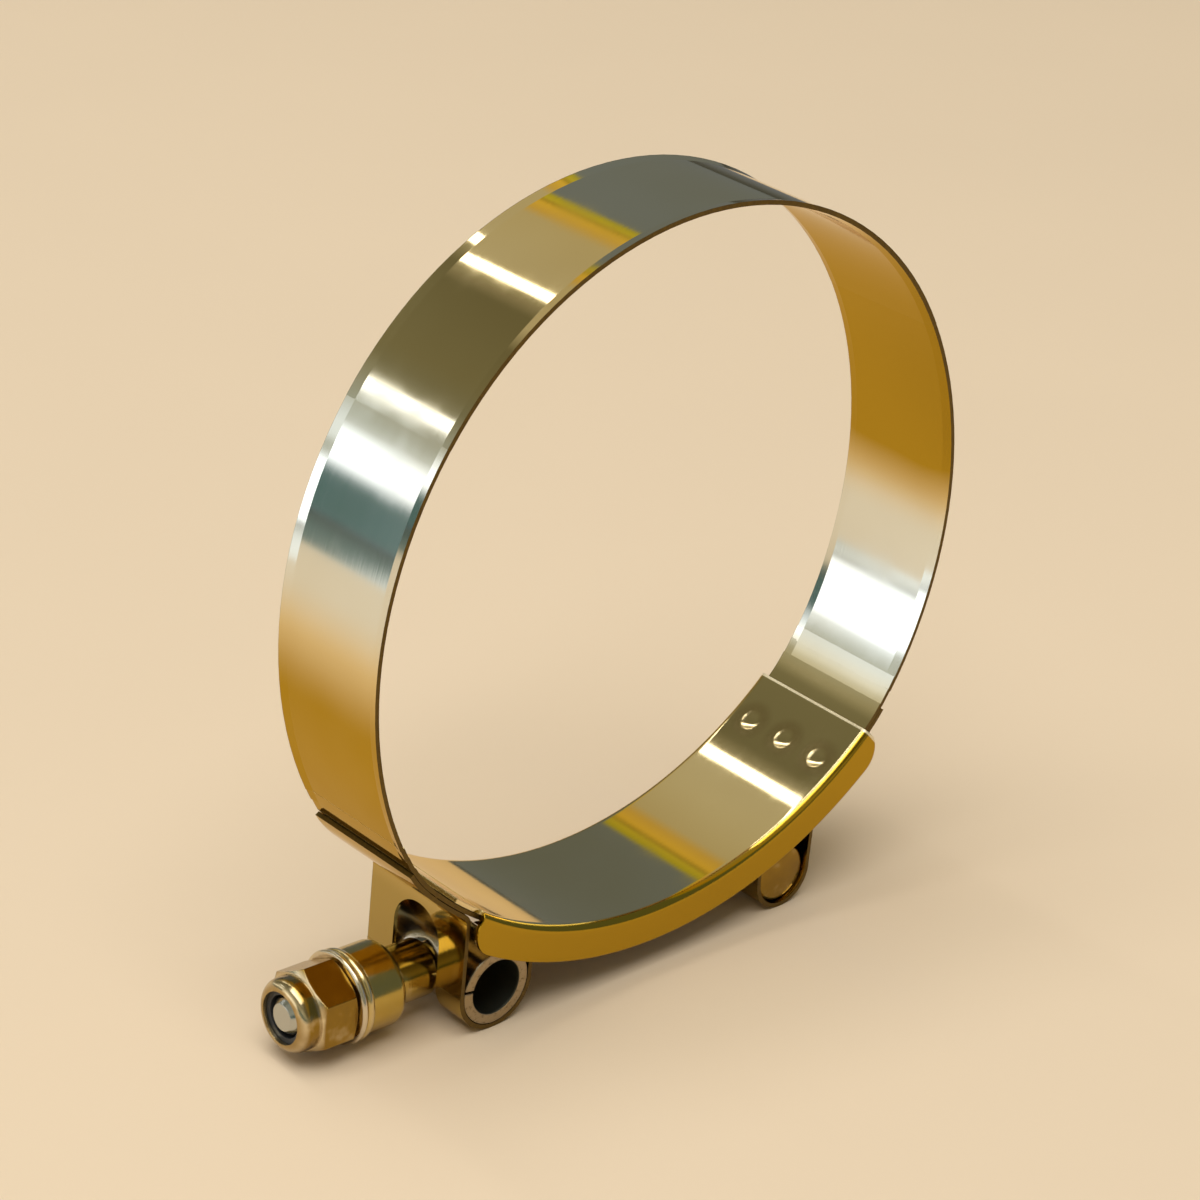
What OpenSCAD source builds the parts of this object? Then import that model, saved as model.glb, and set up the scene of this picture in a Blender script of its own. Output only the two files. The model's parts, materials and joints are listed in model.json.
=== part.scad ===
// T-bolt hose clamp: a spring band closed by a bolt, over a bridge that spans the gap

/* [Band] */
// Diameter of the hose that the open clamp seats on
seat_d = 92; // [76:1:120]
// Width of the band
band_w = 18; // [15:0.5:24]
// Thickness of the band strip
band_t = 0.6; // [0.5:0.05:0.9]
// Half angle of the round crown, from the top
crown_half = 58; // [56:1:66]
// How much larger the radius is at the sides than at the crown
side_ease = 4.5; // [3:0.5:6]
// Inner radius of the turn from each side to the foot
corner_r = 18; // [15:1:26]
// Width of the rolled margin along each edge
margin_w = 1.3; // [0.8:0.1:1.8]
// How far the rolled margin stands out at the edge
margin_rise = 0.25; // [0.15:0.05:0.4]
// Length over which the rolled margin fades out above each tail
margin_fade = 4; // [2:0.5:8]

/* [Loops] */
// Distance from the middle to each loop
loop_span = 24.8; // [23:0.2:28]
// Radius of the bend where the strip leaves the ring, at mid thickness
throat_r = 1.5; // [1.2:0.1:2]
// Radius of the fold at the top of each leg, at mid thickness
fold_r = 1.6; // [1.2:0.1:2.4]
// Distance from the end of the tail that lies on the ring up to the rolled margins
tail_gap = 0.5; // [0.3:0.1:2]
// Width of the slot for the bolt
slot_w = 8.6; // [7.8:0.1:9.6]
// Distance from the fold down to the slot's arch
slot_drop = 1.2; // [0.8:0.1:2]

/* [Bridge] */
// Thickness of the bridge sheet
bridge_t = 0.6; // [0.4:0.05:0.8]
// How much larger the bridge's radius is than the seat's
bridge_ease = 6; // [4:0.5:8]
// Depth of the channel, from the floor's inner face
flange_h = 4.8; // [3.8:0.1:5.6]
// Outer radius of the channel's bends
bend_r = 1.1; // [0.9:0.05:1.3]
// Radius of the flange's lower corners
flange_corner_r = 3.6; // [2:0.1:3.6]
// Angle from straight down to the end of the channel at the nut
flange_left = 33; // [31:0.5:42]
// Angle from straight down to the end of the channel at the cross bar
flange_right = 44.5; // [38:0.5:45]
// Length of the tongue that slides under the band
slide_tongue = 5; // [3:0.5:6]
// Distance of the spot welds from the end of the channel
weld_in = 6.5; // [4:0.5:10]
// Distance between the spot welds across the band
weld_step = 6.2; // [4:0.1:7]
// Diameter of the dimple over each weld
weld_d = 2.8; // [2:0.1:4]
// Depth of that dimple
weld_depth = 0.15; // [0.08:0.01:0.2]

/* [Bolt] */
// Thread diameter of the bolt
bolt_d = 6; // [5:0.5:7]
// Thread pitch
bolt_pitch = 1; // [0.8:0.05:1.25]
// Diameter of the cross bar
bar_d = 8; // [7.4:0.1:9]
// How far the bar's ends stop short of the band's edges
bar_inset = 0.4; // [0.2:0.1:1]
// Bevel on the cross bar's ends
bar_bevel = 0.6; // [0.3:0.1:1]
// Bevel on the bolt's tip
tip_bevel = 0.8; // [0.4:0.1:1]

/* [Trunnion] */
// Outer diameter of the rolled tube
tube_d = 10; // [9:0.1:11]
// Wall of the rolled tube
tube_t = 1.3; // [1:0.1:1.5]
// Width of the butt seam
seam_w = 0.4; // [0.2:0.1:0.6]
// Angle of the seam above the bolt
seam_angle = 8; // [4:1:35]

/* [Sleeve and nut] */
// Diameter of the sleeve's neck
neck_d = 7.4; // [7.2:0.1:7.6]
// Length of the neck, from the trunnion
neck_len = 5.7; // [3:0.1:7]
// Diameter of the sleeve's body
sleeve_d = 11; // [9.5:0.1:11.4]
// Length of the sleeve's body
sleeve_len = 5.4; // [4:0.1:8]
// Radius of the sleeve's shoulder
shoulder_r = 1.2; // [0.6:0.1:1.3]
// Diameter of the bead round the sleeve's rim
bead_d = 11.8; // [11.4:0.1:12.4]
// Height of that bead
bead_h = 1.2; // [1:0.1:2]
// Diameter of the washer
washer_d = 12; // [11:0.1:13]
// Thickness of the washer
washer_t = 0.8; // [0.6:0.1:1.6]
// Width of the nut across its flats
nut_af = 10; // [9.5:0.1:11]
// Diameter of the nut's turned faces, as a share of that width
face_share = 0.97; // [0.9:0.01:1]
// Height of the hexagon
hex_h = 5.4; // [4.5:0.1:8]
// Height of the collar that holds the lock ring
collar_h = 2.6; // [2.4:0.1:4]
// Diameter of the collar
collar_d = 9.4; // [9:0.1:9.4]
// Rounding of the collar's crown
crown_round = 1.4; // [0.8:0.1:1.6]
// Diameter of the opening in the collar
lip_d = 6.7; // [6.3:0.1:7.2]
// Thickness of the collar's lip
lip_t = 0.6; // [0.4:0.1:0.8]
// Outer diameter of the lock ring
ring_d = 7.8; // [7.5:0.1:7.9]

/* [Fits] */
// Gap between the hose and the bridge's floor
seat_gap = 0.2; // [0.1:0.05:0.4]
// Gap between two sheets that lie on each other
sheet_gap = 0.06; // [0.04:0.01:0.1]
// Gap between the band's edge and the flange
flange_gap = 0.5; // [0.4:0.05:0.8]
// Gap between a barrel and its loop
barrel_gap = 0.12; // [0.05:0.01:0.2]
// Gap between the bolt and the bridge
bolt_gap = 0.35; // [0.3:0.05:0.6]
// Play of the bolt in the sleeve and the washer, on the diameter
bore_play = 0.4; // [0.3:0.05:0.5]
// Play of the bolt in the trunnion, on the diameter
hole_play = 0.6; // [0.4:0.05:0.8]
// Running gap of the nut on the bolt
thread_gap = 0.05; // [0.02:0.01:0.08]
// Gap between pieces stacked along the bolt
stack_gap = 0.05; // [0.02:0.01:0.1]

/* [Hidden] */
$fn = 96;
over = 1;

gold = "#c9a860";
dark_gold = "#a07c34";
steel = "#c8c4b8";
plastic = "#2b3038";

// Ring outline, as centres and radii of the band's inner face in the plane of the ring
seat_r = seat_d / 2;
side_r = seat_r + side_ease;
floor_r = seat_r + bridge_ease;
foot_r = floor_r + bridge_t + sheet_gap;
side_c = [-side_ease * sin(crown_half), -side_ease * cos(crown_half)];
foot_c = [0, floor_r - seat_r - seat_gap];
corner_c = meet(side_c, side_r - corner_r, foot_c, foot_r - corner_r);
side_end = heading(corner_c - side_c);
foot_end = heading(corner_c - foot_c);
foot_mid = foot_r + band_t / 2;
tail_mid = foot_mid + band_t + sheet_gap;
lap_inset = 0.02;
lap_len = 0.15;

// How far a corner's circle passes the end that it rounds, so that the two cross and never just touch
corner_pass = 0.05;

// Bolt line and the loops on it; the solid rod is drawn at the thread's pitch diameter
pitch_share = 0.6495;
pitch_d = bolt_d - pitch_share * bolt_pitch;
bolt_z = -(seat_r + seat_gap + bridge_t + bolt_gap + pitch_d / 2);
tube_loop_r = tube_d / 2 + barrel_gap + band_t / 2;
bar_loop_r = bar_d / 2 + barrel_gap + band_t / 2;
lean = asin((tube_loop_r - bar_loop_r) / (2 * loop_span));

// Stack along the bolt, from the trunnion's centre
bore_d = bolt_d + bore_play;
neck_start = tube_d / 2 + stack_gap;
body_start = neck_start + neck_len;
bead_start = body_start + sleeve_len;
washer_start = bead_start + bead_h + stack_gap;
nut_start = washer_start + washer_t + stack_gap;
collar_start = nut_start + hex_h;
nut_end = collar_start + collar_h;
tip_inset = 0.3;

// Where the two circles cross, on the right of the line from the first centre to the second
function meet(c1, r1, c2, r2) =
    let (d = norm(c2 - c1), u = (c2 - c1) / d, a = (d * d + r1 * r1 - r2 * r2) / (2 * d))
    c1 + a * u + sqrt(r1 * r1 - a * a) * [u[1], -u[0]];

// Polar angle of a vector in the plane of the ring
function heading(v) = atan2(v[1], v[0]);

// Centre of a bend that stands at x under a circle and touches it from outside
function under(c, r, x) = [x, c[1] - sqrt(r * r - pow(x - c[0], 2))];

// Places a shape drawn about its own axis at a point of the ring's plane
module at(c) {
    translate([c[0], 0, c[1]])
        rotate([90, 0, 0])
            children();
}

// Sweeps a section, drawn as radius and width, from one angle to another
module sweep(c, from, to) {
    at(c)
        rotate([0, 0, from])
            rotate_extrude(angle = to - from)
                children();
}

// Section of the flat strip, drawn as radius and width
module flat_section(mid_r, inset) {
    translate([mid_r - band_t / 2 + inset, -band_w / 2 + inset])
        square([band_t - 2 * inset, band_w - 2 * inset]);
}

// Section of the strip with its margins rolled outwards by a share of their rise
module rolled_section(mid_r, inset, share = 1) {
    rise = share * margin_rise;
    low = mid_r - band_t / 2 + inset;
    high = mid_r + band_t / 2 - inset;
    edge = band_w / 2 - inset;
    crease = band_w / 2 - margin_w;
    polygon([
        [low + rise, -edge], [low, -crease], [low, crease], [low + rise, edge],
        [high + rise, edge], [high, crease], [high, -crease], [high + rise, -edge]
    ]);
}

// Stretches of strip that meet end to end are fused by a lap: every other one is a lap joint,
// a hair thinner than its neighbours and run a little way into them
module lap_arc(c, mid_r, from, to) {
    more = lap_len / mid_r * 180 / PI;
    sweep(c, from - more, to + more)
        children();
}

module lap_leg(x, z0, z1) {
    translate([x - band_t / 2 + lap_inset, -band_w / 2 + lap_inset, z0 - lap_len])
        cube([band_t - 2 * lap_inset, band_w - 2 * lap_inset, z1 - z0 + 2 * lap_len]);
}

// One side of the ring, from the crown down to the foot; the margins fade out above the tail in two steps
module ring_side() {
    side_mid = side_r + band_t / 2;
    fade_step = margin_fade / 2 / side_mid * 180 / PI;
    lap_arc(side_c, side_mid, side_end + 2 * fade_step, 90 - crown_half)
        rolled_section(side_mid, lap_inset);
    sweep(side_c, side_end + fade_step, side_end + 2 * fade_step)
        rolled_section(side_mid, 0, 2 / 3);
    lap_arc(side_c, side_mid, side_end, side_end + fade_step)
        rolled_section(side_mid, lap_inset, 1 / 3);
    sweep(corner_c, foot_end, side_end)
        flat_section(corner_r + band_t / 2, 0);
}

// One end of the strip: foot, throat, loop round a barrel, leg, fold and tail
module loop_end(loop_r) {
    back_x = loop_span - loop_r;
    leg_x = loop_span + loop_r;
    throat_c = under(foot_c, foot_mid + throat_r, back_x + throat_r);
    fold_c = under(foot_c, tail_mid + fold_r, leg_x + fold_r);
    throat_angle = heading(throat_c - foot_c);
    fold_angle = heading(fold_c - foot_c);
    corner_tail_r = corner_r + 1.5 * band_t + sheet_gap;
    tail_end = side_end - tail_gap / corner_tail_r * 180 / PI;
    lap_arc(foot_c, foot_mid, throat_angle, foot_end)
        flat_section(foot_mid, lap_inset);
    sweep(throat_c, throat_angle + 180, 180)
        flat_section(throat_r, 0);
    lap_leg(back_x, bolt_z, throat_c[1]);
    sweep([loop_span, bolt_z], 180, 360)
        flat_section(loop_r, 0);
    lap_leg(leg_x, bolt_z, fold_c[1]);
    sweep(fold_c, fold_angle + 180, 180)
        flat_section(fold_r, 0);
    lap_arc(foot_c, tail_mid, fold_angle, foot_end)
        flat_section(tail_mid, lap_inset);
    sweep(corner_c, foot_end, tail_end)
        flat_section(corner_tail_r, 0);
}

// Slot through one loop, open round its barrel, with an arch on each leg
module loop_slot(loop_r) {
    leg_x = loop_span + loop_r;
    fold_c = under(foot_c, tail_mid + fold_r, leg_x + fold_r);
    arch_z = fold_c[1] - slot_drop - slot_w / 2;
    translate([loop_span - loop_r - over, 0, bolt_z])
        rotate([0, 90, 0])
            cylinder(h = loop_r + over, d = slot_w);
    translate([leg_x - over, 0, arch_z])
        rotate([0, 90, 0])
            cylinder(h = 2 * over, d = slot_w);
    translate([leg_x - over, -slot_w / 2, bolt_z - over])
        cube([2 * over, slot_w, arch_z - bolt_z + over]);
    translate([loop_span - loop_r - over, -slot_w / 2, bolt_z - loop_r - over])
        cube([2 * (loop_r + over), slot_w, loop_r + over]);
}

module half_band(loop_r) {
    difference() {
        union() {
            ring_side();
            loop_end(loop_r);
        }
        loop_slot(loop_r);
    }
}

// Everything is drawn with the bolt level, then stood on its two loops
module stand() {
    rotate([0, lean, 0])
        children();
}

// Pieces on the bolt are drawn upright from the trunnion's centre
module on_bolt() {
    stand()
        translate([-loop_span, 0, bolt_z])
            rotate([0, -90, 0])
                children();
}

module band() {
    color(gold)
        stand() {
            sweep([0, 0], 90 - crown_half, 90 + crown_half)
                rolled_section(seat_r + band_t / 2, 0);
            half_band(bar_loop_r);
            mirror([1, 0, 0])
                half_band(tube_loop_r);
        }
}

// Outline of a trough, rounded at its floor, from radius r outwards
module trough(r, half_w, round_r, depth) {
    translate([r + round_r, -half_w])
        square([depth - round_r, 2 * half_w]);
    translate([r, -half_w + round_r])
        square([round_r, 2 * (half_w - round_r)]);
    for (side = [-1, 1])
        translate([r + round_r, side * (half_w - round_r)])
            circle(round_r);
}

module channel_section() {
    inner_w = band_w / 2 + flange_gap;
    difference() {
        trough(floor_r, inner_w + bridge_t, bend_r, flange_h);
        trough(floor_r + bridge_t, inner_w, bend_r - bridge_t, flange_h);
    }
}

// Section of the tongue, a hair thinner than the floor that it laps into
module tongue_section() {
    translate([floor_r + lap_inset, -band_w / 2])
        square([bridge_t - 2 * lap_inset, band_w]);
}

// Removes the lower corner of the flanges at one end of the channel
module flange_corner_cut(end, turn) {
    low_r = floor_r + flange_h;
    disc_at = low_r - flange_corner_r;
    inset = asin((flange_corner_r - corner_pass) / disc_at);
    disc_angle = end - turn * inset;
    disc_c = foot_c + disc_at * [cos(disc_angle), sin(disc_angle)];
    past = end + turn;
    difference() {
        sweep(foot_c, min(disc_angle, past), max(disc_angle, past))
            translate([disc_at, -band_w])
                square([flange_corner_r + over, 2 * band_w]);
        at(disc_c)
            cylinder(h = 3 * band_w, r = flange_corner_r, center = true);
    }
}

// Dimples that the spot welds leave in the floor
module weld_dimples(end) {
    ball_r = (weld_d * weld_d / 4 + weld_depth * weld_depth) / (2 * weld_depth);
    spot_angle = end - weld_in / floor_r * 180 / PI;
    spot_c = foot_c + (floor_r + weld_depth - ball_r) * [cos(spot_angle), sin(spot_angle)];
    for (row = [-1, 0, 1])
        translate([spot_c[0], row * weld_step, spot_c[1]])
            sphere(ball_r);
}

module bridge() {
    left = -90 - flange_left;
    right = -90 + flange_right;
    to_angle = 180 / PI / floor_r;
    color(dark_gold)
        stand() {
            difference() {
                sweep(foot_c, left, right)
                    channel_section();
                flange_corner_cut(left, -1);
                flange_corner_cut(right, 1);
                weld_dimples(right);
            }
            sweep(foot_c, left - slide_tongue * to_angle, left + lap_len * to_angle)
                tongue_section();
        }
}

module t_bolt() {
    bar_len = band_w - 2 * bar_inset;
    tip = nut_end - tip_inset;
    color(dark_gold) {
        on_bolt() {
            translate([0, 0, -2 * loop_span])
                cylinder(h = 2 * loop_span + tip - tip_bevel, d = pitch_d);
            translate([0, 0, tip - tip_bevel])
                cylinder(h = tip_bevel, d1 = pitch_d, d2 = pitch_d - 2 * tip_bevel);
        }
        stand()
            at([loop_span, bolt_z]) {
                cylinder(h = bar_len - 2 * bar_bevel, d = bar_d, center = true);
                for (side = [0, 1])
                    mirror([0, 0, side])
                        translate([0, 0, bar_len / 2 - bar_bevel])
                            cylinder(h = bar_bevel, d1 = bar_d, d2 = bar_d - 2 * bar_bevel);
            }
    }
}

module trunnion() {
    color(steel)
        stand()
            difference() {
                at([-loop_span, bolt_z])
                    cylinder(h = band_w, d = tube_d, center = true);
                at([-loop_span, bolt_z])
                    cylinder(h = band_w + 2 * over, d = tube_d - 2 * tube_t, center = true);
                translate([-loop_span, 0, bolt_z])
                    rotate([0, 90, 0])
                        cylinder(h = tube_d + 2 * over, d = bolt_d + hole_play, center = true);
                at([-loop_span, bolt_z])
                    rotate([0, 0, 180 - seam_angle])
                        translate([0, -seam_w / 2, -band_w])
                            cube([tube_d, seam_w, 2 * band_w]);
            }
}

module sleeve() {
    bore_r = bore_d / 2;
    body_r = sleeve_d / 2;
    bead_r = bead_h / 2;
    color(gold)
        on_bolt()
            rotate_extrude() {
                translate([bore_r, neck_start])
                    square([neck_d / 2 - bore_r, neck_len]);
                translate([bore_r, body_start])
                    square([body_r - shoulder_r - bore_r, shoulder_r]);
                translate([body_r - shoulder_r, body_start + shoulder_r])
                    circle(shoulder_r);
                translate([bore_r, body_start + shoulder_r])
                    square([body_r - bore_r, sleeve_len - shoulder_r]);
                translate([bore_r, bead_start])
                    square([bead_d / 2 - bead_r - bore_r, bead_h]);
                translate([bead_d / 2 - bead_r, bead_start + bead_r])
                    circle(bead_r);
            }
}

module thrust_washer() {
    bore_r = bore_d / 2;
    edge_r = washer_t / 2;
    color(steel)
        on_bolt()
            rotate_extrude() {
                translate([bore_r, washer_start])
                    square([washer_d / 2 - edge_r - bore_r, washer_t]);
                translate([washer_d / 2 - edge_r, washer_start + edge_r])
                    circle(edge_r);
            }
}

// Hexagon with both ends bevelled round, as a turned nut has
module hex_body() {
    face_d = nut_af * face_share;
    wide_d = face_d + 2 * hex_h / tan(30);
    translate([0, 0, nut_start])
        intersection() {
            cylinder(h = hex_h, d = nut_af / cos(30), $fn = 6);
            cylinder(h = hex_h, d1 = face_d, d2 = wide_d);
            cylinder(h = hex_h, d1 = wide_d, d2 = face_d);
        }
}

module collar_body() {
    collar_r = collar_d / 2;
    rotate_extrude() {
        translate([0, collar_start - over])
            square([collar_r, collar_h + over - crown_round]);
        translate([0, nut_end - crown_round])
            square([collar_r - crown_round, crown_round]);
        translate([collar_r - crown_round, nut_end - crown_round])
            circle(crown_round);
    }
}

module lock_nut() {
    color(gold)
        on_bolt()
            difference() {
                union() {
                    hex_body();
                    collar_body();
                }
                translate([0, 0, nut_start - over])
                    cylinder(h = hex_h + collar_h + 2 * over, d = pitch_d + 2 * thread_gap);
                translate([0, 0, collar_start])
                    cylinder(h = collar_h - lip_t, d = ring_d + 2 * stack_gap);
                translate([0, 0, collar_start])
                    cylinder(h = collar_h + over, d = lip_d);
            }
}

module lock_ring() {
    ring_h = collar_h - lip_t - 2 * stack_gap;
    color(plastic)
        on_bolt()
            translate([0, 0, collar_start + stack_gap])
                difference() {
                    cylinder(h = ring_h, d = ring_d);
                    translate([0, 0, -over])
                        cylinder(h = ring_h + 2 * over, d = pitch_d + 2 * thread_gap);
                }
}

band();
bridge();
t_bolt();
trunnion();
sleeve();
thrust_washer();
lock_nut();
lock_ring();
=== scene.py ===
"""Looks of the T-bolt clamp: plated finishes, the threaded bolt and the studio round the frame."""

import json
import math

import bmesh
import bpy
from mathutils import Matrix, Vector

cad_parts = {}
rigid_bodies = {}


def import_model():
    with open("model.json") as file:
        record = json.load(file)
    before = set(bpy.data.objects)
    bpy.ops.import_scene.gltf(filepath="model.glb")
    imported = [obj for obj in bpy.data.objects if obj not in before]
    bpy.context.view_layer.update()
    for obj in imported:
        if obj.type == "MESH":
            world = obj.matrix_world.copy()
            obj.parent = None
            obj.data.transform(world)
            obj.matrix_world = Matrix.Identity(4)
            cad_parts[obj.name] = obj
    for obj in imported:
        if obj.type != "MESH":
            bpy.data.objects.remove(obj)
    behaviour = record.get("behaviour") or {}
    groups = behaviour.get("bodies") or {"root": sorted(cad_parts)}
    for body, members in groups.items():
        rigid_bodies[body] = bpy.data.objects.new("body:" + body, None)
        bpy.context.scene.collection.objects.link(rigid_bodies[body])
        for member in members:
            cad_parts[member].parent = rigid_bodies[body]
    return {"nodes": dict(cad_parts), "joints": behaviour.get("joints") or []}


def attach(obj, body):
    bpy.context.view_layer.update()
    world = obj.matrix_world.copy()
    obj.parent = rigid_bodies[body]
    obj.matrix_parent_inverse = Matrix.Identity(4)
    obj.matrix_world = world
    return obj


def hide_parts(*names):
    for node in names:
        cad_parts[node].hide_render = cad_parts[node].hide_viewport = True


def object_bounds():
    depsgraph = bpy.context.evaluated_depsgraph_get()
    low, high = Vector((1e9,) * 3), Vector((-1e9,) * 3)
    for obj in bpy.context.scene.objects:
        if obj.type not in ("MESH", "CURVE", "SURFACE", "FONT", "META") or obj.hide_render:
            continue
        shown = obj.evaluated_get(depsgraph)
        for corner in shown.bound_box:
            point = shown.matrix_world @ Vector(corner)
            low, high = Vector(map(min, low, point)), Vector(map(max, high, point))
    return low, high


bl_info = {
    "name": "T-bolt clamp looks",
    "version": (1, 0, 0),
    "blender": (4, 5, 0),
    "location": "3D View > Sidebar > Clamp",
    "description": "Finishes, threaded bolt and studio for a T-bolt hose clamp",
    "category": "Object",
}

IMAGE_SIDE = 1200
WHITE = (1.0, 1.0, 1.0, 1.0)
SEAT_AXIS = Vector((0, 1, 0))

# Mesh steps and tolerances
SHARP_ANGLE = math.radians(32)
MERGE_DISTANCE = 1e-6
CORE_SLACK = 1e-5
ROD_SEGMENTS = 72
BAR_SEGMENTS = 96
THREAD_STEPS = 40

# Drawing of the strip with the bolt level, in millimetres and degrees
TAIL_END_X = 39.93
TAIL_END_Z = -29.47
TAIL_HEADING = 57.28
BRIDGE_RADIUS = 52
BRIDGE_CENTRE_Z = 5.8
BRIDGE_END_ANGLE = -45.5
WELD_ANGLE = -52.66
WELD_STEP = 6.2

# Places on the pieces that a finish follows, in metres
BAND_HALF_WIDTH = 0.009
BAND_EDGE_R = 0.00002
# Below this height the loops are painted darker olive gold: painted shade near the floor.
LOOP_SHADE_TOP = -0.036
BRIDGE_EDGE_R = 0.00025
# Below this height the bridge is painted deeper gold, painted shade near the floor, over the fade
# below.
BRIDGE_SHADE_TOP = -0.042
LOW_SHADE_FADE = 0.005
FLANGE_FROM = (0.00905, 0.0096)
TUBE_CUT_FACE = 0.009
TUBE_BORE_R = 0.0037

# Heights over which the band's painted silver reflection and painted deep-gold shade change, in
# metres
LEFT_REFLECTION_FROM, LEFT_REFLECTION_TO = (-0.002, 0.006), (0.024, 0.032)
RIGHT_REFLECTION_FROM, RIGHT_REFLECTION_TO = (-0.031, -0.025), (-0.008, -0.001)
LEFT_SHADE_TO = (-0.01, 0.002)
RIGHT_SHADE_FROM = (-0.006, 0.004)

# Rims rubbed bright and painted as highlights: distance out from the trunnion, and width, in metres
SLEEVE_RIMS = ((0.0111, 0.0008), (0.01675, 0.0009))
WASHER_RIMS = ((0.0178, 0.0007),)
NUT_RIMS = ((0.0236, 0.0005), (0.0258, 0.0007))
TIP_RIM_WIDTH = 0.0004

# Thread profile: 0 at the root and 1 at the crest, and share of the pitch
TOOTH = ((0, 0.0), (0, 0.14), (1, 0.42), (1, 0.58), (0, 0.86), (0, 1.0))

# Room that the metal mirrors: half turns from the right over the top to the left, and colour
ROOM_STOPS = (
    (0.0, (0.16, 0.2, 0.27)),
    (0.306, (0.17, 0.21, 0.28)),
    (0.312, (0.42, 0.4, 0.03)),
    (0.324, (0.55, 0.48, 0.05)),
    (0.33, (0.34, 0.26, 0.04)),
    (0.338, (0.72, 0.5, 0.07)),
    (0.358, (0.6, 0.42, 0.1)),
    (0.375, (0.5, 0.45, 0.3)),
    (0.5, (0.5, 0.46, 0.34)),
    (0.56, (0.16, 0.15, 0.09)),
    (0.74, (0.2, 0.19, 0.12)),
    (0.82, (0.42, 0.4, 0.29)),
    (0.9, (0.5, 0.48, 0.37)),
    (0.93, (0.07, 0.13, 0.115)),
    (1.0, (0.09, 0.16, 0.14)),
)

# Soft panels in that room, in the same half turns
FAR_PANEL_FROM, FAR_PANEL_TO = (0.842, 0.88), (0.905, 0.94)
NEAR_PANEL_FROM = (0.895, 0.915)
SILL_FROM, SILL_TO = (0.82, 0.85), (0.875, 0.885)
SILL_SHARE = 0.45
PANEL_GLOW = 0.8

# How steeply a mirrored direction runs to the back, where the panels begin
FAR_STEEPNESS = (0.78, 0.92)
NEAR_STEEPNESS = (-0.1, 0.1)

# Where the floor starts to be painted as the mirrored room, to the right and to the left, in metres
RIGHT_ROOM_REFLECTION_FROM = (0.34, 0.4)
LEFT_ROOM_REFLECTION_FROM = (0.38, 0.44)

# Lamps: power setting, share of it, degrees round the seat, reach, place front to back, size
LAMPS = {
    "key": ("key_watts", 1.0, 106, 1.8, -0.2, (1.7, 1.7)),
    "strip_top": ("strip_watts", 0.6, 93, 1.3, 1.0, (0.08, 2.2)),
    "strip_left": ("strip_watts", 0.18, 141, 1.3, 1.7, (0.07, 1.15)),
}


def clear_start_scene():
    """Removes what a new Blender file starts with."""
    for thing in list(bpy.data.objects):
        bpy.data.objects.remove(thing)


clear_start_scene()
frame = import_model()
CAD_BOX = [list(corner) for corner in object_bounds()]
NODES = frame["nodes"]
TURN = next(joint for joint in frame["joints"] if joint["name"] == "nut_turn")
TRUNNION = Vector(TURN["pos_m"])
BOLT_AXIS = Vector(TURN["axis"]).normalized()
FLOOR_Z = CAD_BOX[0][2]
LEAN = math.asin(BOLT_AXIS.z)


def stand(x, y, z):
    """Point of the drawing, in millimetres with the bolt level, as the part stands on its loops."""
    return Matrix.Rotation(LEAN, 3, "Y") @ Vector((x, y, z)) / 1000


def placed(place, x_axis, y_axis, z_axis):
    """Matrix that moves the origin to a place and turns it to the given axes."""
    return Matrix.Translation(place) @ Matrix((x_axis, y_axis, z_axis)).transposed().to_4x4()


class Value:
    """A socket that takes part in arithmetic; each step adds a Math node."""

    def __init__(self, graph, socket):
        self.graph = graph
        self.socket = socket

    def math(self, operation, *others):
        terms = dict(enumerate((self, *others)))
        return self.graph.add("ShaderNodeMath", {"operation": operation}, terms).out(0)

    def __add__(self, other):
        return self.math("ADD", other)

    __radd__ = __add__

    def __mul__(self, other):
        return self.math("MULTIPLY", other)

    __rmul__ = __mul__

    def __sub__(self, other):
        return self.math("SUBTRACT", other)

    def __rsub__(self, other):
        return (self * -1) + other

    def __truediv__(self, other):
        return self.math("DIVIDE", other)

    def __abs__(self):
        return self.math("ABSOLUTE")

    def most(self, other):
        return self.math("MAXIMUM", other)

    def capped(self):
        return self.math("MINIMUM", 1.0)

    def rise(self, low, high):
        """0 below low, 1 above high, smooth between."""
        settings = {"interpolation_type": "SMOOTHSTEP"}
        sockets = {"Value": self, "From Min": low, "From Max": high}
        return self.graph.add("ShaderNodeMapRange", settings, sockets).out(0)

    def fall(self, low, high):
        """1 below low, 0 above high, smooth between."""
        return 1 - self.rise(low, high)


class Made:
    """A node that has been added, and its outputs."""

    def __init__(self, graph, node):
        self.graph = graph
        self.node = node

    def out(self, key):
        return Value(self.graph, self.node.outputs[key])


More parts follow.
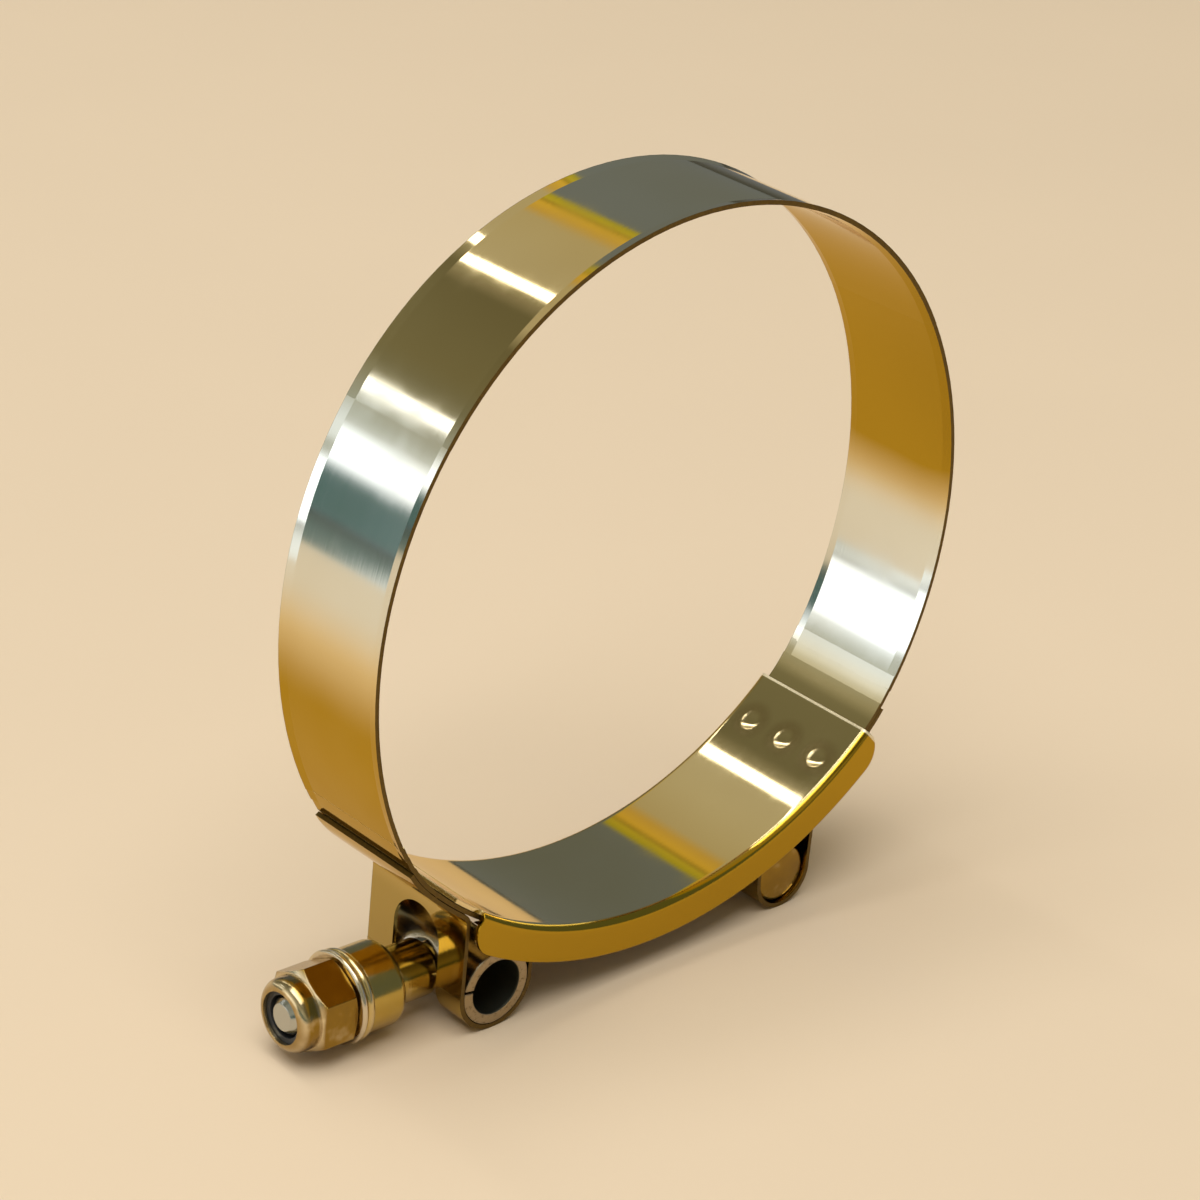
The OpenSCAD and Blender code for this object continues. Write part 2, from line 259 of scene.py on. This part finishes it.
class Graph:
    """One node tree, built from an empty start."""

    def __init__(self, tree):
        self.tree = tree
        tree.nodes.clear()

    def add(self, kind, settings=None, sockets=None):
        """Adds a node, sets its settings first, then the values or links of its sockets."""
        node = self.tree.nodes.new(kind)
        for name, setting in (settings or {}).items():
            if name == "stops":
                self.set_stops(node.color_ramp, setting)
            else:
                setattr(node, name, setting)
        for key, given in (sockets or {}).items():
            if isinstance(given, Value):
                self.tree.links.new(given.socket, node.inputs[key])
            else:
                node.inputs[key].default_value = given
        return Made(self, node)

    @staticmethod
    def set_stops(ramp, stops):
        while len(ramp.elements) < len(stops):
            ramp.elements.new(1.0)
        for element, (place, colour) in zip(ramp.elements, stops):
            element.position = place
            element.color = rgba(colour)

    def vector(self, operation, *terms):
        """A Vector Math node."""
        sockets = dict(enumerate(terms))
        return self.add("ShaderNodeVectorMath", {"operation": operation}, sockets)

    def place(self):
        """Object coordinates, in metres of the part's own frame."""
        return self.add("ShaderNodeTexCoord").out("Object")

    def axes(self, vector):
        parts = self.add("ShaderNodeSeparateXYZ", {}, {0: vector})
        return parts.out(0), parts.out(1), parts.out(2)

    def scaled(self, vector, scale):
        return self.add("ShaderNodeMapping", {}, {"Vector": vector, "Scale": scale}).out(0)

    def flat(self, vector):
        """The vector with nothing along the seat's axis."""
        return self.scaled(vector, (1, 0, 1))

    def noise(self, vector, scale, detail=2.0, roughness=0.5):
        sockets = {"Vector": vector, "Scale": scale, "Detail": detail, "Roughness": roughness}
        return self.add("ShaderNodeTexNoise", {}, sockets).out(0)

    def mix(self, factor, first, second):
        sockets = {0: factor, 6: first, 7: second}
        return self.add("ShaderNodeMix", {"data_type": "RGBA"}, sockets).out(2)

    def near(self, vector, point):
        """Distance from a point."""
        return self.vector("DISTANCE", vector, tuple(point)).out("Value")

    def along(self, vector, point, direction):
        """Distance along a line from a point on it."""
        moved = self.vector("SUBTRACT", vector, tuple(point)).out(0)
        return self.vector("DOT_PRODUCT", moved, tuple(direction)).out("Value")

    def outward(self, place):
        """How much a face looks away from the seat's axis, from -1 to 1."""
        unit = self.vector("NORMALIZE", self.flat(place)).out(0)
        normal = self.add("ShaderNodeTexCoord").out("Normal")
        return self.vector("DOT_PRODUCT", unit, normal).out("Value")

    def bump(self, height, strength, depth, edge=0.0001):
        """Relief on edges that are rounded over a small radius."""
        rounded = self.add("ShaderNodeBevel", {"samples": 4}, {"Radius": edge}).out(0)
        sockets = {"Height": height, "Strength": strength, "Distance": depth, "Normal": rounded}
        return self.add("ShaderNodeBump", {}, sockets).out(0)

    def surface(self, sockets):
        """Ends a material in one Principled shader."""
        shader = self.add("ShaderNodeBsdfPrincipled", {}, sockets).out(0)
        self.add("ShaderNodeOutputMaterial", {}, {"Surface": shader})


def rgba(colour):
    return (*colour, 1.0)


def new_material(name):
    material = bpy.data.materials.new(name)
    material.use_nodes = True
    return material, Graph(material.node_tree)


def dress(node, material):
    """Gives a CAD node its finish."""
    slots = NODES[node].data.materials
    slots.clear()
    slots.append(material)


def colour_property(name, description, default):
    return bpy.props.FloatVectorProperty(
        name=name,
        description=description,
        default=default,
        subtype="COLOR",
        size=3,
        min=0.0,
        max=1.0,
    )


def length_property(name, description, default, low=0.0):
    return bpy.props.FloatProperty(
        name=name, description=description, default=default, unit="LENGTH", precision=5, min=low
    )


def power_property(name, description, default):
    return bpy.props.FloatProperty(
        name=name, description=description, default=default, unit="POWER", min=0.0
    )


def angle_property(name, description, degrees):
    return bpy.props.FloatProperty(
        name=name, description=description, default=math.radians(degrees), subtype="ANGLE"
    )


class ClampFinish(bpy.types.PropertyGroup):
    """Colours of the finishes."""

    pale_gold: colour_property("Pale gold", "Plating on the flat of the strip", (0.83, 0.69, 0.4))
    # Pale silver is a painted reflection: the strip is silvered where the room's light panels show
    # in the metal.
    painted_silver_reflection: colour_property("Pale silver", "Plating where it is thin", (0.82, 0.86, 0.83))
    # Deep gold is painted shade on the strip's outside low down and inside high up; on flanges,
    # stains and burrs it is their own tint.
    deep_gold: colour_property("Deep gold", "Plating where it is thick", (0.45, 0.28, 0.022))
    # Olive gold is painted shade on the loops near the floor.
    olive_loop_shade: colour_property("Olive gold", "Plating on the folded loops", (0.4, 0.3, 0.1))
    glancing_gold: colour_property("Glancing gold", "Strip at a low angle", (0.95, 0.85, 0.66))
    turned_gold: colour_property("Turned gold", "Plating on nut and bolt", (0.27, 0.165, 0.032))
    sleeve_gold: colour_property("Sleeve gold", "Plating on the sleeve", (0.5, 0.36, 0.09))
    # Worn gold is partly wear and partly a painted highlight, on the bridge's end and on turned
    # rims.
    worn_gold_and_highlight: colour_property("Worn gold", "Plating rubbed thin at rims", (0.9, 0.8, 0.58))
    steel: colour_property("Steel", "Bright steel with a faint tint", (0.57, 0.51, 0.42))
    tip_steel: colour_property("Tip steel", "Bare end of the bolt", (0.48, 0.49, 0.46))
    # Cut steel is near black: the cut faces' own bare tone and painted shade together; it also
    # darkens pits on the tube's sawn ends.
    cut_steel_and_shade: colour_property("Cut steel", "Bare face left by shears", (0.055, 0.033, 0.013))
    sawn_steel: colour_property("Sawn steel", "Ends of the tube", (0.36, 0.27, 0.155))
    # Painted shade for the inside of the tube's bore.
    painted_bore_shade: colour_property("Grime", "Dark film inside the tube", (0.1, 0.1, 0.075))
    heat_tint: colour_property("Heat tint", "Straw ring round a spot weld", (0.5, 0.36, 0.16))
    nylon: colour_property("Nylon", "Plastic of the lock ring", (0.035, 0.04, 0.05))


class BoltSizes(bpy.types.PropertyGroup):
    """Sizes of the bolt."""

    pitch: length_property("Pitch", "Thread pitch", 0.001)
    crest_d: length_property("Crest diameter", "Thread crest, just inside the nut's bore", 0.0054)
    root_d: length_property("Root diameter", "Thread root", 0.00485)
    shank_d: length_property("Shank diameter", "Plain part of the rod", 0.00535)
    tip_reach: length_property("Tip reach", "From the trunnion to the tip", 0.02595)
    thread_back: length_property("Thread back", "From the trunnion to the thread's end", 0.02)
    bar_span: length_property("Bar span", "From the trunnion to the cross bar", 0.0496)
    bar_d: length_property("Bar diameter", "Cross bar", 0.008)
    bar_len: length_property("Bar length", "Cross bar", 0.0172)
    bar_bevel: length_property("Bar bevel", "Bevel on the bar's ends", 0.0006)
    tip_bevel: length_property("Tip bevel", "Bevel on the tip", 0.0007)


class StageSettings(bpy.types.PropertyGroup):
    """Floor, room, lamps and camera."""

    floor_colour: colour_property("Floor", "Plain pale floor", (0.76, 0.61, 0.445))
    # Room colours painted onto the floor for glossy rays: painted reflection.
    painted_right_reflection: colour_property("Right room", "Mirrored past the floor's right", (0.15, 0.18, 0.24))
    painted_left_reflection: colour_property("Left room", "Mirrored past its left, behind", (0.08, 0.14, 0.125))
    backdrop: colour_property("Backdrop", "Seen past the floor", (0.27, 0.215, 0.13))
    floor_side: length_property("Floor side", "Width of the floor", 40.0)
    key_watts: power_property("Key", "Large soft lamp", 31.0)
    strip_watts: power_property("Strips", "Strip lamps", 4.0)
    azimuth: angle_property("Azimuth", "Camera's turn round the part", -44.211)
    elevation: angle_property("Elevation", "Camera above the horizon", 26.121)
    roll: angle_property("Roll", "Camera's turn about its own axis", 4.964)
    distance: length_property("Distance", "Camera from the seat's centre", 0.428381)
    lens_pixels: bpy.props.FloatProperty(
        name="Lens", description="Focal length in pixels of the picture", default=3509.199, min=1.0
    )
    aim_right: length_property("Aim right", "Camera's shift to its right", -0.004264, -1.0)
    aim_up: length_property("Aim up", "Camera's shift upwards", -0.006572, -1.0)


def silver_reflection_and_shade(graph, place):
    """Masks from 0 to 1: where the strip is painted silver as a painted reflection, and where it is
    painted deep gold as painted shade, which on the flanges is their own tint.
    """
    x, y, z = graph.axes(place)
    facing = graph.outward(place)
    to_side, square_on = (0.015, 0.03), (0.3, 0.9)
    left = (x * -1).rise(*to_side) * facing.rise(*square_on)
    right = x.rise(*to_side) * (facing * -1).rise(*square_on)
    silver_reflection_left = left * z.rise(*LEFT_REFLECTION_FROM) * z.fall(*LEFT_REFLECTION_TO)
    silver_reflection_right = right * z.rise(*RIGHT_REFLECTION_FROM) * z.fall(*RIGHT_REFLECTION_TO)
    deep_shade_left = left * z.fall(*LEFT_SHADE_TO) * 0.96
    deep_shade_right = right * z.rise(*RIGHT_SHADE_FROM)
    flange = abs(y).rise(*FLANGE_FROM)
    return silver_reflection_left.most(silver_reflection_right), deep_shade_left.most(deep_shade_right).most(flange)


def sheared_faces(graph, place, half_width, tail_ends):
    """Mask of the faces that the shears left along the strip's sides and at its tails."""
    sheared = abs(graph.axes(place)[1]).rise(half_width - 0.00005, half_width - 0.00003)
    for point, direction in tail_ends:
        at_end = graph.along(place, point, direction).rise(-0.00005, -0.00002)
        close_by = graph.near(graph.flat(place), point).fall(0.0006, 0.0007)
        sheared = sheared.most(at_end * close_by)
    return sheared


def strip_material(name, finish, edge, low_shade, shear=None, weld_spots=(), worn_end_highlight=None):
    """Mirror-rolled strip: patchy gold plating, painted silver reflection, painted shade, rolling
    lines, smudges, cut faces partly painted shade, an end worn and painted as a highlight.
    """
    material, graph = new_material(name)
    place = graph.place()
    rolling = graph.noise(graph.scaled(place, (6, 2600, 6)), 1.0, 3.0, 0.6)
    smudge = graph.noise(place, 95.0, 3.0, 0.55).rise(0.48, 0.75)
    patch = graph.noise(place, 38.0).rise(0.3, 0.8)
    # thin carries the painted silver reflection, thick the painted deep-gold shade and the flanges'
    # own tint.
    thin, thick = silver_reflection_and_shade(graph, place)
    colour = graph.mix(thin, rgba(finish.pale_gold), rgba(finish.painted_silver_reflection))
    colour = graph.mix((thick + patch * 0.2).capped(), colour, rgba(finish.deep_gold))
    # Below a given height the strip is painted darker: painted shade near the floor.
    low_shade_top, low_shade_colour, low_shade_share = low_shade
    low = graph.axes(place)[2].fall(low_shade_top - LOW_SHADE_FADE, low_shade_top)
    colour = graph.mix(low * low_shade_share, colour, rgba(low_shade_colour))
    roughness = rolling * 0.04 + smudge * 0.06 + thin * 0.05 + 0.035
    metal = 1.0
    for spot in weld_spots:
        reach = graph.near(place, spot)
        ring = reach.rise(0.0006, 0.0016) * reach.fall(0.0018, 0.0034)
        colour = graph.mix(ring * 0.55, colour, rgba(finish.heat_tint))
        roughness = roughness + ring * 0.08
    # The cut faces are painted near black: their bare tone plus painted shade.
    if shear is not None:
        sheared = sheared_faces(graph, place, *shear)
        burr = graph.noise(place, 2400.0, 3.0, 0.6)
        bare = graph.mix(burr * 0.3, rgba(finish.cut_steel_and_shade), rgba(finish.deep_gold))
        colour = graph.mix(sheared, colour, bare)
        roughness = roughness + sheared * 0.25
        metal = metal - sheared * 0.3
    if worn_end_highlight is not None:
        # The bridge's end is painted light and less metallic: wear plus a painted highlight.
        rubbed = graph.along(place, *worn_end_highlight).rise(-0.00045, -0.00025)
        colour = graph.mix(rubbed, colour, rgba(finish.worn_gold_and_highlight))
        roughness = roughness + rubbed * 0.3
        metal = metal - rubbed * 0.45
    graph.surface(
        {
            "Base Color": colour,
            "Metallic": metal,
            "Roughness": roughness,
            "Specular Tint": rgba(finish.glancing_gold),
            "Normal": graph.bump(rolling, 0.12, 0.00002, edge),
        }
    )
    return material


def metal_surface(graph, colour, roughness, relief):
    """Ends a material that is bare or plated metal all over."""
    graph.surface(
        {"Base Color": colour, "Metallic": 1.0, "Roughness": roughness, "Normal": relief}
    )


def turned_material(name, finish, body, rims, bare_from=None):
    """Plated turned steel: tool lines, rims rubbed bright and painted as highlights, and bare steel
    past a given depth.
    """
    material, graph = new_material(name)
    place = graph.place()
    depth = graph.along(place, TRUNNION, BOLT_AXIS)
    rings = graph.add("ShaderNodeCombineXYZ", {}, {0: depth * 3200}).out(0)
    tool = graph.noise(rings, 1.0, 2.0, 0.6)
    stain = graph.noise(place, 240.0, 3.0, 0.6)
    worn = stain.rise(0.55, 0.75) * 0.25
    # Rims are painted light: part wear, part painted highlight.
    for rim, width in rims:
        worn = worn + abs(depth - rim).fall(0.0, width) * (stain * 0.8 + 0.05)
    colour = graph.mix(stain.rise(0.3, 0.7) * 0.3, rgba(body), rgba(finish.deep_gold))
    colour = graph.mix(worn.capped(), colour, rgba(finish.worn_gold_and_highlight))
    if bare_from is not None:
        bare = depth.rise(bare_from, bare_from + 0.0002)
        colour = graph.mix(bare, colour, rgba(finish.tip_steel))
    roughness = tool * 0.1 + stain * 0.1 + 0.09
    metal_surface(graph, colour, roughness, graph.bump(tool, 0.3, 0.00003, 0.00018))
    return material


def tube_material(name, finish):
    """Bright rolled tube: lengthwise draw lines, sawn ends and a bore painted dark as shade."""
    material, graph = new_material(name)
    place = graph.place()
    reach = graph.near(graph.flat(place), (TRUNNION.x, 0.0, TRUNNION.z))
    bore = reach.fall(TUBE_BORE_R + 0.00002, TUBE_BORE_R + 0.00006)
    cut = abs(graph.axes(place)[1]).rise(TUBE_CUT_FACE - 0.00012, TUBE_CUT_FACE - 0.00004)
    drawn = graph.noise(graph.scaled(place, (1800, 30, 1800)), 1.0)
    sawn = graph.noise(graph.scaled(place, (900, 200, 4200)), 1.0, 2.0, 0.6)
    pits = graph.noise(place, 1900.0, 3.0, 0.7).rise(0.52, 0.7)
    stain = graph.noise(place, 260.0, 3.0).rise(0.35, 0.75)
    colour = graph.mix(stain * 0.6, rgba(finish.steel), rgba(finish.deep_gold))
    colour = graph.mix(cut * 0.85, colour, rgba(finish.sawn_steel))
    colour = graph.mix(cut * pits * 0.6, colour, rgba(finish.cut_steel_and_shade))
    # The bore is painted dark: painted shade in the recess.
    colour = graph.mix(bore, colour, rgba(finish.painted_bore_shade))
    roughness = drawn * 0.14 + cut * 0.14 + bore * 0.3 + 0.14
    lines = drawn * (1 - cut) + sawn * cut
    metal_surface(graph, colour, roughness, graph.bump(lines, 0.35, 0.00004, 0.0004))
    return material


def nylon_material(name, finish):
    """Moulded plastic with a dull skin."""
    material, graph = new_material(name)
    place = graph.place()
    skin = graph.noise(place, 1500.0)
    tone = graph.noise(place, 400.0).rise(0.3, 0.7)
    darker = tuple(0.55 * channel for channel in finish.nylon)
    colour = graph.mix(tone, rgba(darker), rgba(finish.nylon))
    relief = graph.bump(skin, 0.4, 0.00003)
    graph.surface({"Base Color": colour, "Roughness": skin * 0.2 + 0.35, "Normal": relief})
    return material


def floor_material(name, stage):
    """Plain pale floor, faintly mottled; to glossy rays it is painted as the room past given
    distances right and left, a painted reflection.
    """
    material, graph = new_material(name)
    place = graph.place()
    x, y, _ = graph.axes(place)
    mottle = graph.noise(place, 9.0, 3.0)
    paler = tuple(min(1.0, 1.04 * channel) for channel in stage.floor_colour)
    shade = graph.mix(mottle, rgba(stage.floor_colour), rgba(paler))
    # Glossy rays see the floor painted as the room, white and teal on the left and slate on the
    # right: painted reflection.
    mirrored = graph.add("ShaderNodeLightPath").out("Is Glossy Ray")
    behind = (y + x * 0.85).rise(-0.03, 0.03)
    painted_left_reflection = graph.mix(behind, WHITE, rgba(stage.painted_left_reflection))
    shade = graph.mix(mirrored * x.rise(*RIGHT_ROOM_REFLECTION_FROM), shade, rgba(stage.painted_right_reflection))
    shade = graph.mix(mirrored * (x * -1).rise(*LEFT_ROOM_REFLECTION_FROM), shade, painted_left_reflection)
    roughness = mottle * 0.1 + 0.6
    graph.surface({"Base Color": shade, "Roughness": roughness, "Specular IOR Level": 0.25})
    return material


def smooth_by_angle(bm):
    for face in bm.faces:
        face.smooth = True
    for edge in bm.edges:
        edge.smooth = len(edge.link_faces) == 2 and edge.calc_face_angle(0.0) < SHARP_ANGLE


def finished_piece(bm, name, material):
    """Turns a bmesh into an object at the origin, with outward faces."""
    bmesh.ops.remove_doubles(bm, verts=bm.verts, dist=MERGE_DISTANCE)
    bmesh.ops.recalc_face_normals(bm, faces=bm.faces)
    smooth_by_angle(bm)
    mesh = bpy.data.meshes.new(name)
    bm.to_mesh(mesh)
    bm.free()
    mesh.materials.append(material)
    piece = bpy.data.objects.new(name, mesh)
    bpy.context.scene.collection.objects.link(piece)
    return piece


def edges_among(bm, verts):
    return [edge for edge in bm.edges if edge.verts[0] in verts and edge.verts[1] in verts]


def add_round(bm, radius, low, high, segments=ROD_SEGMENTS):
    """Adds a closed cylinder along Z and gives back its vertices."""
    made = bmesh.ops.create_cone(
        bm, cap_ends=True, segments=segments, radius1=radius, radius2=radius, depth=high - low
    )["verts"]
    bmesh.ops.translate(bm, verts=made, vec=(0, 0, (low + high) / 2))
    return made


def bevel_edges(bm, edges, width, segments):
    bmesh.ops.bevel(
        bm,
        geom=edges,
        offset=width,
        offset_type="OFFSET",
        affect="EDGES",
        segments=segments,
        profile=0.5,
        material=-1,
    )


class CLAMP_OT_strip_finish(bpy.types.Operator):
    """Finishes the band and the bridge"""

    bl_idname = "clamp.strip_finish"
    bl_label = "Finish band and bridge"

    def execute(self, context):
        finish = context.scene.clamp_finish
        band = strip_material(
            "gold_strip",
            finish,
            BAND_EDGE_R,
            low_shade=(LOOP_SHADE_TOP, finish.olive_loop_shade, 0.85),
            shear=(BAND_HALF_WIDTH, self.tail_ends()),
        )
        bridge = strip_material(
            "gold_bridge",
            finish,
            BRIDGE_EDGE_R,
            low_shade=(BRIDGE_SHADE_TOP, finish.deep_gold, 0.4),
            weld_spots=[self.on_bridge(WELD_ANGLE, row * WELD_STEP) for row in (-1, 0, 1)],
            worn_end_highlight=self.bridge_end(),
        )
        dress("band", band)
        dress("bridge", bridge)
        return {"FINISHED"}

    @staticmethod
    def tail_ends():
        """Middle and heading of the cut at the end of each tail."""
        angle = math.radians(TAIL_HEADING)
        return [
            (
                stand(side * TAIL_END_X, 0, TAIL_END_Z),
                stand(side * math.cos(angle), 0, math.sin(angle)).normalized(),
            )
            for side in (-1, 1)
        ]

    @staticmethod
    def on_bridge(degrees, across=0):
        """Point on the arc of the bridge's floor."""
        angle = math.radians(degrees)
        height = BRIDGE_CENTRE_Z + BRIDGE_RADIUS * math.sin(angle)
        return stand(BRIDGE_RADIUS * math.cos(angle), across, height)

    def bridge_end(self):
        """Middle and heading of the bridge's welded end."""
        angle = math.radians(BRIDGE_END_ANGLE)
        heading = stand(-math.sin(angle), 0, math.cos(angle)).normalized()
        return self.on_bridge(BRIDGE_END_ANGLE), heading


class CLAMP_OT_hardware_finish(bpy.types.Operator):
    """Finishes the turned pieces, the washer, the tube and the lock ring"""

    bl_idname = "clamp.hardware_finish"
    bl_label = "Finish hardware"

    def execute(self, context):
        finish = context.scene.clamp_finish
        turned = (
            ("sleeve", "turned_sleeve", finish.sleeve_gold, SLEEVE_RIMS),
            ("lock_nut", "turned_nut", finish.turned_gold, NUT_RIMS),
            ("thrust_washer", "bright_washer", finish.steel, WASHER_RIMS),
        )
        for node, name, body, rims in turned:
            dress(node, turned_material(name, finish, body, rims))
        dress("trunnion", tube_material("rolled_tube", finish))
        dress("lock_ring", nylon_material("dull_nylon", finish))
        return {"FINISHED"}


class CLAMP_OT_bolt(bpy.types.Operator):
    """Makes the bolt with its rolled thread and cross bar"""

    bl_idname = "clamp.bolt"
    bl_label = "Make bolt"

    def execute(self, context):
        finish, sizes = context.scene.clamp_finish, context.scene.clamp_bolt
        bm = bmesh.new()
        self.add_core(bm, sizes)
        self.add_thread(bm, sizes)
        shank_end = -sizes.thread_back + sizes.pitch / 2
        add_round(bm, sizes.shank_d / 2, -sizes.bar_span, shank_end)
        self.add_bar(bm, sizes)
        upward = SEAT_AXIS.cross(BOLT_AXIS).normalized()
        on_bolt = placed(TRUNNION, upward, SEAT_AXIS, BOLT_AXIS)
        bmesh.ops.transform(bm, matrix=on_bolt, verts=bm.verts)
        tip_from = sizes.tip_reach - sizes.tip_bevel
        tip_rims = ((tip_from, TIP_RIM_WIDTH),)
        metal = turned_material("turned_bolt", finish, finish.turned_gold, tip_rims, tip_from)
        piece = finished_piece(bm, "threaded_bolt", metal)
        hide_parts("t_bolt")
        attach(piece, "clamp")
        return {"FINISHED"}

    @staticmethod
    def add_core(bm, sizes):
        """The rod under the thread, with its bevelled tip."""
        radius = sizes.root_d / 2 - CORE_SLACK
        core = add_round(bm, radius, -sizes.thread_back, sizes.tip_reach)
        tip = {vert for vert in core if vert.co.z > sizes.tip_reach - MERGE_DISTANCE}
        bevel_edges(bm, edges_among(bm, tip), sizes.tip_bevel, 1)

    @staticmethod
    def add_thread(bm, sizes):
        """A rolled thread: one tooth of the profile, spun up the rod."""
        threaded = sizes.tip_reach - sizes.tip_bevel + sizes.thread_back
        turns = math.floor(threaded / sizes.pitch) - 1
        radii = (sizes.root_d / 2, sizes.crest_d / 2)
        points = [
            bm.verts.new((radii[level], 0, share * sizes.pitch - sizes.thread_back))
            for level, share in TOOTH
        ]
        line = [bm.edges.new(pair) for pair in zip(points, points[1:])]
        bmesh.ops.spin(
            bm,
            geom=points + line,
            cent=(0, 0, 0),
            axis=(0, 0, 1),
            dvec=(0, 0, sizes.pitch / THREAD_STEPS),
            angle=2 * math.pi * turns,
            steps=THREAD_STEPS * turns,
            use_merge=False,
        )

    @staticmethod
    def add_bar(bm, sizes):
        """The cross bar with both ends bevelled, turned across the rod."""
        others = set(bm.verts)
        half = sizes.bar_len / 2
        bar = add_round(bm, sizes.bar_d / 2, -half, half, BAR_SEGMENTS)
        high = {vert for vert in bar if vert.co.z > 0}
        low = {vert for vert in bar if vert.co.z < 0}
        bevel_edges(bm, edges_among(bm, high) + edges_among(bm, low), sizes.bar_bevel, 3)
        bar = [vert for vert in bm.verts if vert not in others]
        across = Matrix.Rotation(math.pi / 2, 3, "X")
        bmesh.ops.rotate(bm, verts=bar, cent=(0, 0, 0), matrix=across)
        bmesh.ops.translate(bm, verts=bar, vec=(0, 0, -sizes.bar_span))


class CLAMP_OT_stage(bpy.types.Operator):
    """Makes the floor, the lamps, the surroundings and the camera"""

    bl_idname = "clamp.stage"
    bl_label = "Make stage"

    def execute(self, context):
        stage = context.scene.clamp_stage
        context.scene.view_settings.view_transform = "Standard"
        self.make_floor(stage)
        self.make_surroundings(context.scene, stage)
        self.make_lamps(stage)
        context.scene.camera = self.make_camera(stage)
        return {"FINISHED"}

    @staticmethod
    def make_floor(stage):
        bm = bmesh.new()
        bmesh.ops.create_grid(bm, x_segments=4, y_segments=4, size=stage.floor_side / 2)
        bmesh.ops.translate(bm, verts=bm.verts, vec=(0, 0, FLOOR_Z))
        finished_piece(bm, "floor", floor_material("pale_floor", stage))

    @staticmethod
    def make_surroundings(scene, stage):
        """A dim room with soft panels low on the left for the metal to mirror, and a backdrop."""
        world = bpy.data.worlds.new("studio")
        world.use_nodes = True
        scene.world = world
        graph = Graph(world.node_tree)
        x, y, z = graph.axes(graph.add("ShaderNodeTexCoord").out("Generated"))
        half_turns = z.math("ARCTAN2", x) / math.pi
        steepness = y / (x * x + z * z).math("SQRT")
        far = steepness.rise(*FAR_STEEPNESS)
        near = (1 - far) * steepness.rise(*NEAR_STEEPNESS)
        far_panel = half_turns.rise(*FAR_PANEL_FROM) * half_turns.fall(*FAR_PANEL_TO) * far
        sill = half_turns.rise(*SILL_FROM) * half_turns.fall(*SILL_TO) * SILL_SHARE
        near_panel = (half_turns.rise(*NEAR_PANEL_FROM) + sill) * near
        seen = graph.add("ShaderNodeLightPath").out("Is Camera Ray")
        panels = (far_panel + near_panel) * (1 - seen)
        room = graph.add("ShaderNodeValToRGB", {"stops": ROOM_STOPS}, {0: half_turns}).out(0)
        colour = graph.mix(panels, room, WHITE)
        colour = graph.mix(seen, colour, rgba(stage.backdrop))
        sockets = {"Color": colour, "Strength": panels * PANEL_GLOW + 1}
        light = graph.add("ShaderNodeBackground", {}, sockets).out(0)
        graph.add("ShaderNodeOutputWorld", {}, {"Surface": light})

    @staticmethod
    def make_lamps(stage):
        """Soft panels that face the seat's axis, each with its long side front to back."""
        for name, (setting, share, degrees, reach, front_back, size) in LAMPS.items():
            angle = math.radians(degrees)
            outward = Vector((math.cos(angle), 0, math.sin(angle)))
            place = outward * reach + SEAT_AXIS * front_back
            data = bpy.data.lights.new(name, "AREA")
            data.shape = "RECTANGLE"
            data.size, data.size_y = size
            data.energy = getattr(stage, setting) * share
            lamp = bpy.data.objects.new(name, data)
            lamp.matrix_world = placed(place, SEAT_AXIS.cross(outward), SEAT_AXIS, outward)
            lamp.visible_camera = False
            bpy.context.scene.collection.objects.link(lamp)

    @staticmethod
    def make_camera(stage):
        turn, rise, roll = stage.azimuth, stage.elevation, stage.roll
        level = Vector((math.cos(turn), math.sin(turn), 0))
        away = Vector((math.sin(turn), -math.cos(turn), 0))
        back = away * math.cos(rise) + Vector((0, 0, math.sin(rise)))
        upright = back.cross(level)
        right = level * math.cos(roll) + upright * math.sin(roll)
        up = upright * math.cos(roll) - level * math.sin(roll)
        eye = back * stage.distance + right * stage.aim_right + up * stage.aim_up
        data = bpy.data.cameras.new("camera")
        data.sensor_fit = "HORIZONTAL"
        data.lens = data.sensor_width * stage.lens_pixels / IMAGE_SIDE
        data.clip_start, data.clip_end = 0.01, 50.0
        camera = bpy.data.objects.new("camera", data)
        camera.matrix_world = placed(eye, right, up, back)
        bpy.context.scene.collection.objects.link(camera)
        return camera


class CLAMP_PT_panel(bpy.types.Panel):
    """Lists the steps and what can be changed"""

    bl_idname = "CLAMP_PT_panel"
    bl_label = "T-bolt clamp"
    bl_space_type = "VIEW_3D"
    bl_region_type = "UI"
    bl_category = "Clamp"

    def draw(self, context):
        for operator in OPERATORS:
            self.layout.operator(operator.bl_idname)
        for name, group in GROUPS.items():
            box = self.layout.box()
            for setting in group.__annotations__:
                box.prop(getattr(context.scene, name), setting)


GROUPS = {"clamp_finish": ClampFinish, "clamp_bolt": BoltSizes, "clamp_stage": StageSettings}
OPERATORS = (CLAMP_OT_strip_finish, CLAMP_OT_hardware_finish, CLAMP_OT_bolt, CLAMP_OT_stage)
CLASSES = (*GROUPS.values(), *OPERATORS, CLAMP_PT_panel)


def register():
    for cls in CLASSES:
        bpy.utils.register_class(cls)
    for name, group in GROUPS.items():
        setattr(bpy.types.Scene, name, bpy.props.PointerProperty(type=group))


def unregister():
    for name in GROUPS:
        delattr(bpy.types.Scene, name)
    for cls in reversed(CLASSES):
        bpy.utils.unregister_class(cls)


def main():
    register()
    bpy.ops.clamp.strip_finish()
    bpy.ops.clamp.hardware_finish()
    bpy.ops.clamp.bolt()
    bpy.ops.clamp.stage()


if __name__ == "__main__":
    main()
